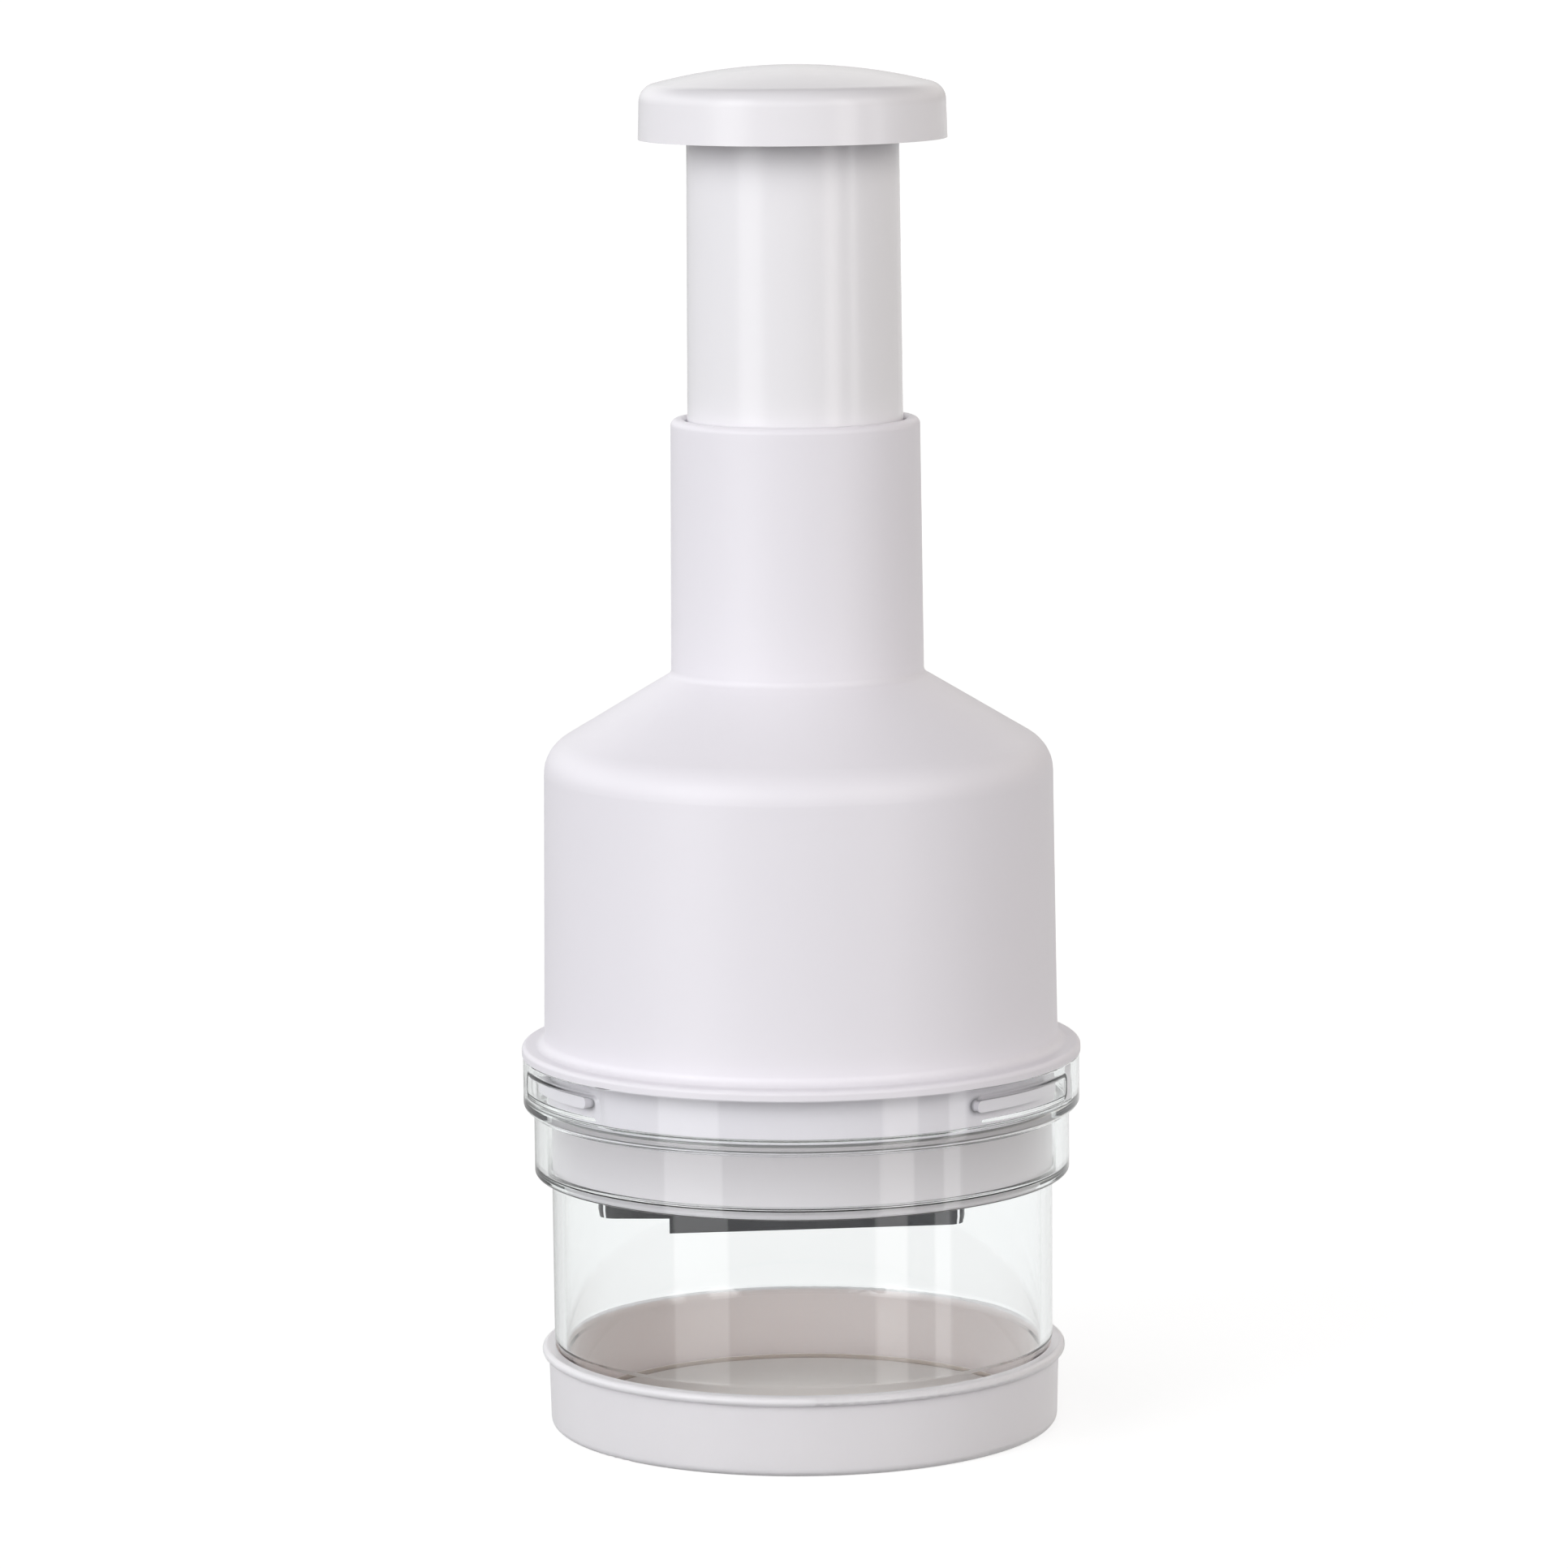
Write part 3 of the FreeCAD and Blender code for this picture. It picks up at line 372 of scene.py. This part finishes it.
lip_outline = rounded_outline([(41.2, 44.8, 0.3), (41.95, 44.8, 0.3), (41.95, 46.85), (41.2, 46.85)])
seal_outline = rounded_outline([
    (42.9, 57.88), (44.35, 57.88, 0.15), (44.35, 58.32, 0.15), (42.9, 58.32)], hold=0.06)
ring_lip = turned_piece("ring_lip", lip_outline, wiper_white)
ring_seal = turned_piece("ring_seal", seal_outline, gap_shade_grey)
for part in (ring_lip, ring_seal):
    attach(part, "housing")


# ---- Zigzag blade ----
# One stainless strip folded seven times, its lower edge ground to a bevel on both sides and
# its upper edge set in the carrier.
# Painted dark reflection: the steel's grey is darker than bare stainless steel.
BLADE_GREY = (0.22, 0.22, 0.23)
BLADE_LOW_SHADE = (0.17, 0.17, 0.18)
LOW_SHADE_FROM, LOW_SHADE_TO = 0.051, 0.046
FOLD_HIGHLIGHT = (0.95, 0.95, 0.96)
FOLD_HIGHLIGHT_TURNS = ((0.0, 0.0), (0.56, 0.0), (0.6, 1.0), (0.68, 1.0), (0.72, 0.0), (1.0, 0.0))
FOLD_RADIUS = 2.8
FREE_END = (-22.7, -32.0)
RIGHT_FOLDS = ((24.6, -24.0), (24.9, -8.0), (24.9, 8.0), (24.6, 24.0))
LEFT_FOLDS = ((-32.1, -16.0), (-35.2, 0.0), (-32.1, 16.0))
FOLD_STEPS, FOLD_HOLD = 14, 0.4
HALF_STRIP, HALF_EDGE = 0.3, 0.075
BEVEL, BEVEL_HOLD = 1.3, 0.2
EDGE_RAISE = 0.3
STEEL_GRAINS = 600.0
STEEL_DARK_SHARE = 0.8
STEEL_SHEEN_SPREAD = 0.06
SHARP_FROM = math.radians(35)


def drawn_steel(name, colour, roughness):
    """Steel with the faint uneven tone and sheen that drawing and rolling leave."""
    finish = bpy.data.materials.new(name)
    finish.use_nodes = True
    tree = finish.node_tree
    shader = tree.nodes["Principled BSDF"]
    shader.inputs["Metallic"].default_value = 1.0
    lines = fine_noise(tree, STEEL_GRAINS, detail=3.0)
    darker = tuple(channel * STEEL_DARK_SHARE for channel in colour)
    tree.links.new(mixed_colour(tree, lines, colour, darker), shader.inputs["Base Color"])
    sheen = graded(tree, lines, 0.0, 1.0, roughness - STEEL_SHEEN_SPREAD, roughness + STEEL_SHEEN_SPREAD)
    tree.links.new(sheen, shader.inputs["Roughness"])
    return finish


def colour_ramp(tree, value, stops):
    """A colour that follows a value through stops, each a place from 0 to 1 and a colour."""
    ramp = tree.nodes.new("ShaderNodeValToRGB")
    elements = ramp.color_ramp.elements
    while len(elements) < len(stops):
        elements.new(0.5)
    for element, (place, colour) in zip(elements, stops):
        element.position = place
        element.color = (*colour, 1.0)
    tree.links.new(value, ramp.inputs["Fac"])
    return ramp.outputs["Color"]


def blade_line():
    """Middle line of the strip seen from above, as points with the direction to their left."""
    folds = [(Vector(fold), 1) for fold in RIGHT_FOLDS] + [(Vector(fold), -1) for fold in LEFT_FOLDS]
    folds.sort(key=lambda fold: fold[0].y)
    first_end, last_end = Vector(FREE_END), Vector((FREE_END[0], -FREE_END[1]))
    stops = [(centre, side, FOLD_RADIUS) for centre, side in folds]
    stops = [(first_end, 1, 0.0)] + stops + [(last_end, 1, 0.0)]
    line = []
    for (centre, side, radius), (ahead, side_ahead, radius_ahead) in zip(stops, stops[1:]):
        between = ahead - centre
        if radius == 0:
            swing = -side_ahead * math.asin(radius_ahead / between.length)
        elif radius_ahead == 0:
            swing = side * math.asin(radius / between.length)
        else:
            swing = side * math.asin(2 * FOLD_RADIUS / between.length)
        heading = math.atan2(between.y, between.x) + swing
        left = Vector((-math.sin(heading), math.cos(heading)))
        start = centre - left * (side * radius)
        end = ahead - left * (side_ahead * radius_ahead)
        if line:
            first = math.atan2(line[-1][1].y, line[-1][1].x)
            last = first + side * ((side * (math.atan2(left.y, left.x) - first)) % (2 * math.pi))
            for step in range(1, FOLD_STEPS):
                angle = first + (last - first) * step / FOLD_STEPS
                around = Vector((math.cos(angle), math.sin(angle)))
                line.append((centre - around * (side * radius), around))
        held = (end - start).normalized() * FOLD_HOLD
        line += [(start, left), (start + held, left), (end - held, left), (end, left)]
    return line


def folded_strip(name, finish, section, beyond=0.0):
    """A closed mesh of one cross-section carried along the blade's line and beyond its ends.

    A point of the section is an offset to the left of the line and a height."""
    line = blade_line()
    line[0] = (line[0][0] + (line[0][0] - line[1][0]).normalized() * beyond, line[0][1])
    line[-1] = (line[-1][0] + (line[-1][0] - line[-2][0]).normalized() * beyond, line[-1][1])
    points = []
    for place, left in line:
        for offset, height in section:
            spot = place + left * offset
            points.append((spot.x / 1000, spot.y / 1000, height / 1000))
    count = len(section)
    faces = [tuple(range(count)), tuple(range(len(points) - 1, len(points) - count - 1, -1))]
    for ring in range(len(line) - 1):
        low = ring * count
        for side in range(count):
            after = (side + 1) % count
            faces.append((low + side, low + count + side, low + count + after, low + after))
    mesh = bpy.data.meshes.new(name)
    mesh.from_pydata(points, [], faces)
    strip = finished_piece(name, mesh, finish)
    mesh.set_sharp_from_angle(angle=SHARP_FROM)
    return strip


# A painted highlight runs down each fold, where its surface turns partly sideways.
blade_steel = drawn_steel("blade_steel", BLADE_GREY, roughness=0.12)
# Painted dark reflection: the blade is darker towards its lower edge.
shade_by_height(blade_steel, LOW_SHADE_FROM, LOW_SHADE_TO, BLADE_LOW_SHADE)
steel_tree = blade_steel.node_tree
steel_colour = steel_tree.nodes["Principled BSDF"].inputs["Base Color"]
facing = steel_tree.nodes.new("ShaderNodeSeparateXYZ")
steel_tree.links.new(steel_tree.nodes.new("ShaderNodeTexCoord").outputs["Normal"], facing.inputs[0])
turned_sideways = steel_tree.nodes.new("ShaderNodeMath")
turned_sideways.operation = "ABSOLUTE"
steel_tree.links.new(facing.outputs["X"], turned_sideways.inputs[0])
fold_highlight = colour_ramp(steel_tree, turned_sideways.outputs[0],
                      [(turn, (amount, amount, amount)) for turn, amount in FOLD_HIGHLIGHT_TURNS])
plain_steel = steel_colour.links[0].from_socket
steel_tree.links.new(mixed_colour(steel_tree, fold_highlight, plain_steel, FOLD_HIGHLIGHT), steel_colour)

blade_low, blade_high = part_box("zigzag_blade")
blade_bottom, blade_top = blade_low.z * 1000 + EDGE_RAISE, blade_high.z * 1000
folded_blade = folded_strip("folded_blade", blade_steel, [
    (-HALF_STRIP, blade_top), (-HALF_STRIP, blade_bottom + BEVEL + BEVEL_HOLD),
    (-HALF_STRIP, blade_bottom + BEVEL), (-HALF_EDGE, blade_bottom),
    (HALF_EDGE, blade_bottom), (HALF_STRIP, blade_bottom + BEVEL),
    (HALF_STRIP, blade_bottom + BEVEL + BEVEL_HOLD), (HALF_STRIP, blade_top)])
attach(folded_blade, "blade")
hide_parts("zigzag_blade")


# ---- Wiper disc ----
# A disc held in the wiper ring, slotted for the blade to pass through, so that food is
# wiped off the blade on its way up.
HALF_SLOT, SLOT_BEYOND = 0.8, 0.6
SLOT_LOW, SLOT_HIGH = 40.0, 60.0
disc_low, disc_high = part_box("wiper_disc")
slot_cutter = folded_strip("slot_cutter", wiper_white, [
    (-HALF_SLOT, SLOT_HIGH), (-HALF_SLOT, SLOT_LOW), (HALF_SLOT, SLOT_LOW), (HALF_SLOT, SLOT_HIGH)],
    beyond=SLOT_BEYOND)
slotted_disc = turned_piece("slotted_disc", rounded_outline([
    (0, disc_low.z * 1000), (disc_high.x * 1000, disc_low.z * 1000, 0.3),
    (disc_high.x * 1000, disc_high.z * 1000, 0.3), (0, disc_high.z * 1000)]), wiper_white)
slots = slotted_disc.modifiers.new("slots", "BOOLEAN")
slots.operation = "DIFFERENCE"
slots.object = slot_cutter
cut_disc = slotted_disc.evaluated_get(bpy.context.evaluated_depsgraph_get())
cut_mesh = bpy.data.meshes.new_from_object(cut_disc)
slotted_disc.modifiers.clear()
slotted_disc.data = cut_mesh
cut_mesh.set_sharp_from_angle(angle=SHARP_FROM)
bpy.data.objects.remove(slot_cutter)
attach(slotted_disc, "wiper")
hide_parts("wiper_disc")


# ---- Drive: carrier, shaft, nut, plate, spring and screws ----
# Hidden in the housing: mouldings of white and of natural acetal, a soft rubber ring, a
# drawn steel spring, and zinc-plated screws and washers.
CARRIER_WHITE, CARRIER_SHADE = (0.62, 0.62, 0.62), (0.58, 0.58, 0.58)
ACETAL_CREAM, ACETAL_SHADE = (0.78, 0.75, 0.66), (0.72, 0.69, 0.6)
RUBBER_BLACK, RUBBER_SHADE = (0.02, 0.02, 0.02), (0.03, 0.03, 0.03)
SPRING_GREY = (0.45, 0.45, 0.46)
ZINC_GREY = (0.6, 0.6, 0.6)
dress(moulded_plastic("carrier_white", CARRIER_WHITE, CARRIER_SHADE, roughness=0.45),
      "blade_carrier", "mechanism_plate", "guide_sleeve")
dress(moulded_plastic("natural_acetal", ACETAL_CREAM, ACETAL_SHADE, roughness=0.4),
      "blade_shaft", "drive_nut", "shaft_holder")
dress(moulded_plastic("soft_rubber", RUBBER_BLACK, RUBBER_SHADE, roughness=0.7), "stop_bumper")
dress(drawn_steel("spring_steel", SPRING_GREY, roughness=0.3), "return_spring")
dress(drawn_steel("zinc_plate", ZINC_GREY, roughness=0.35),
      "plate_screws", "spring_washer", "knob_screws", "thrust_washer", "retaining_washer",
      "shaft_screw", "carrier_screws")


# ---- Housing shell ----
# White satin shell: neck, sloping shoulder, barrel, a flange on the cup's collar, and a
# skirt inside the collar with three bayonet lugs.
SHELL_WHITE = (0.80, 0.775, 0.82)
SHELL_SHADE = (0.78, 0.755, 0.80)
CORNER_SHADE = (0.25, 0.25, 0.26)
CORNER_REACH = 0.0012
SHADED_OPENNESS, CLEAN_OPENNESS = 0.5, 0.9


def shade_corners(finish, reach, tint):
    """Paints shade into a finish's tight inner corners, by how closed in they are."""
    tree = finish.node_tree
    corner = tree.nodes.new("ShaderNodeAmbientOcclusion")
    corner.only_local = True
    corner.samples = 8
    corner.inputs["Distance"].default_value = reach
    share = graded(tree, corner.outputs["AO"], SHADED_OPENNESS, CLEAN_OPENNESS, 1.0, 0.0)
    return tint_finish(finish, share, tint)


shell_white = moulded_plastic("shell_white", SHELL_WHITE, SHELL_SHADE, roughness=0.4)
# Painted shade: the shell is darker in its tight corners, as under the flange.
dress(shade_corners(shell_white, CORNER_REACH, CORNER_SHADE), "housing_shell")


# ---- Plunger tube and knob ----
# The tube slides in the neck. The knob is a mushroom cap for the palm, screwed on from
# below and closed by a back plate. Both are glossier than the shell.
TUBE_WHITE, TUBE_SHADE = (0.83, 0.815, 0.84), (0.81, 0.795, 0.82)
KNOB_WHITE, KNOB_SHADE = (0.83, 0.81, 0.84), (0.81, 0.79, 0.82)
CROWN_SHADE = (0.83, 0.83, 0.83)
CROWN_SHADE_FROM, CROWN_SHADE_TO = 0.2335, 0.237
dress(moulded_plastic("tube_white", TUBE_WHITE, TUBE_SHADE, roughness=0.22), "plunger_tube")
knob_white = moulded_plastic("knob_white", KNOB_WHITE, KNOB_SHADE, roughness=0.24, grain=0.000001)
# Painted shade: the knob is darker towards the top of its crown.
shade_by_height(knob_white, CROWN_SHADE_FROM, CROWN_SHADE_TO, CROWN_SHADE)
dress(knob_white, "plunger_knob", "knob_backplate")


# ---- Floor ----
# A pale floor that is seen, and a darker one just below it that only bounces light up.
FLOOR_REACH = 12
BOUNCE_DEPTH = -0.001
FLOOR_LEVEL, FLOOR_GLOW = 0.4, 0.75
BOUNCE_LEVEL = 0.33


def matt_card(name, level, glow=0.0):
    """A dull even grey that may give off light."""
    finish = bpy.data.materials.new(name)
    finish.use_nodes = True
    shader = finish.node_tree.nodes["Principled BSDF"]
    shader.inputs["Base Color"].default_value = (level, level, level, 1.0)
    shader.inputs["Roughness"].default_value = 0.9
    shader.inputs["Specular IOR Level"].default_value = 0.0
    shader.inputs["Emission Color"].default_value = (1.0, 1.0, 1.0, 1.0)
    shader.inputs["Emission Strength"].default_value = glow
    return finish


def flat_sheet(name, height, finish):
    """A large level square round the object, which isn't part of it."""
    corners = [(-1, -1), (1, -1), (1, 1), (-1, 1)]
    mesh = bpy.data.meshes.new(name)
    mesh.from_pydata([(x * FLOOR_REACH, y * FLOOR_REACH, height) for x, y in corners], [], [(0, 1, 2, 3)])
    mesh.update()
    mesh.materials.append(finish)
    sheet = bpy.data.objects.new(name, mesh)
    bpy.context.scene.collection.objects.link(sheet)
    return sheet


seen_floor = flat_sheet("floor", 0, matt_card("pale_floor", FLOOR_LEVEL, FLOOR_GLOW))
seen_floor.visible_diffuse = False
seen_floor.visible_glossy = False
seen_floor.visible_shadow = False
bounce_floor = flat_sheet("bounce_floor", BOUNCE_DEPTH, matt_card("table_top", BOUNCE_LEVEL))
bounce_floor.visible_camera = False
bounce_floor.visible_transmission = False
bounce_floor.visible_glossy = False


# ---- Light ----
# A bright even room with three tall soft windows, darker to the right. Its light is set by
# the direction it comes from: degrees round from the front to the right, and degrees up.
ROOM_STRENGTH = 3.0
LEVEL_UNIT = 3.0

world = bpy.data.worlds.new("studio")
world.use_nodes = True
room_tree = world.node_tree
room = room_tree.nodes["Background"]
room.inputs["Strength"].default_value = ROOM_STRENGTH
direction = room_tree.nodes.new("ShaderNodeSeparateXYZ")
room_tree.links.new(room_tree.nodes.new("ShaderNodeTexCoord").outputs["Generated"], direction.inputs[0])
toward_front = room_tree.nodes.new("ShaderNodeMath")
toward_front.operation = "MULTIPLY"
toward_front.inputs[1].default_value = -1.0
room_tree.links.new(direction.outputs["Y"], toward_front.inputs[0])
round_from_front = room_tree.nodes.new("ShaderNodeMath")
round_from_front.operation = "ARCTAN2"
room_tree.links.new(direction.outputs["X"], round_from_front.inputs[0])
room_tree.links.new(toward_front.outputs[0], round_from_front.inputs[1])
upward = room_tree.nodes.new("ShaderNodeMath")
upward.operation = "ARCSINE"
room_tree.links.new(direction.outputs["Z"], upward.inputs[0])


def light_ramp(angle, span, stops):
    """Brightness over an angle in degrees, from -span to span."""
    turn = graded(room_tree, angle.outputs[0], -math.radians(span), math.radians(span))
    return colour_ramp(room_tree, turn, [
        ((degrees + span) / (2 * span), tuple(level / LEVEL_UNIT for level in levels))
        for degrees, levels in stops])


def light(degrees, value, cool=0.0):
    """A stop of a light ramp. Cool light is bluer, and below 0 it is warmer."""
    return degrees, (value * (1 - cool), value, value * (1 + cool))


def combined(operation, first, second):
    """Two colours of light added or multiplied."""
    mix = room_tree.nodes.new("ShaderNodeVectorMath")
    mix.operation = operation
    room_tree.links.new(first, mix.inputs[0])
    room_tree.links.new(second, mix.inputs[1])
    return mix.outputs["Vector"]


walls = light_ramp(round_from_front, 180, [
    light(-180, 0.7), light(-120, 0.95), light(-90, 1.1, 0.01), light(-62, 1.2, 0.015),
    light(-30, 1.2, 0.015), light(0, 1.1, 0.01), light(30, 0.85, -0.015), light(50, 0.5, -0.06),
    light(74, 0.35, -0.09), light(120, 0.5, -0.07), light(180, 0.7, -0.01)])
walls_upward = light_ramp(upward, 90, [
    light(-1, 0.0), light(0, 2.6), light(9, 4.4), light(15, 5.7), light(30, 5.6), light(38, 2.0),
    light(48, 0.5), light(90, 0.2)])
windows = light_ramp(round_from_front, 180, [
    light(-62, 0.0), light(-61, 2.0), light(-35, 2.0), light(-34, 0.0), light(33, 0.0),
    light(34, 2.2, -0.02), light(48, 2.2, -0.02), light(49, 0.0), light(62, 0.0), light(63, 2.2),
    light(71, 2.2), light(72, 0.0)])
windows_upward = light_ramp(upward, 90, [
    light(-22, 0.0), light(-18, 3.0), light(40, 3.0), light(50, 0.0)])
ground = light_ramp(round_from_front, 180, [
    light(-180, 0.6), light(-120, 0.45), light(-90, 0.35), light(-65, 0.3), light(-40, 0.25),
    light(-10, 0.35), light(10, 0.35), light(40, 0.2), light(65, 0.4), light(90, 0.75),
    light(120, 0.85), light(180, 0.9)])
ground_upward = light_ramp(upward, 90, [light(-1, 3.0), light(0, 0.0)])

room_light = combined("ADD", combined("MULTIPLY", walls, walls_upward),
                      combined("MULTIPLY", windows, windows_upward))
room_light = combined("ADD", room_light, combined("MULTIPLY", ground, ground_upward))
room_tree.links.new(room_light, room.inputs["Color"])
bpy.context.scene.world = world


# ---- Camera ----
# A long lens in front of the object, a little above it and looking slightly down.
FRAME_PIXELS = 1932
FOCAL_PIXELS = 8800.0
SENSOR_WIDTH = 36.0
CAMERA_PLACE = (-0.00257, -1.2429, 0.29315)
CAMERA_TILT = 81.8
CAMERA_ROLL = -0.55
view = bpy.data.cameras.new("view")
view.sensor_fit = "HORIZONTAL"
view.sensor_width = SENSOR_WIDTH
view.lens = SENSOR_WIDTH * FOCAL_PIXELS / FRAME_PIXELS
view.clip_end = 100.0
camera = bpy.data.objects.new("view", view)
camera.matrix_world = (
    Matrix.Translation(CAMERA_PLACE)
    @ Matrix.Rotation(math.radians(CAMERA_TILT), 4, "X")
    @ Matrix.Rotation(math.radians(CAMERA_ROLL), 4, "Z")
)
bpy.context.scene.collection.objects.link(camera)
bpy.context.scene.camera = camera
bpy.context.scene.view_settings.view_transform = "Standard"
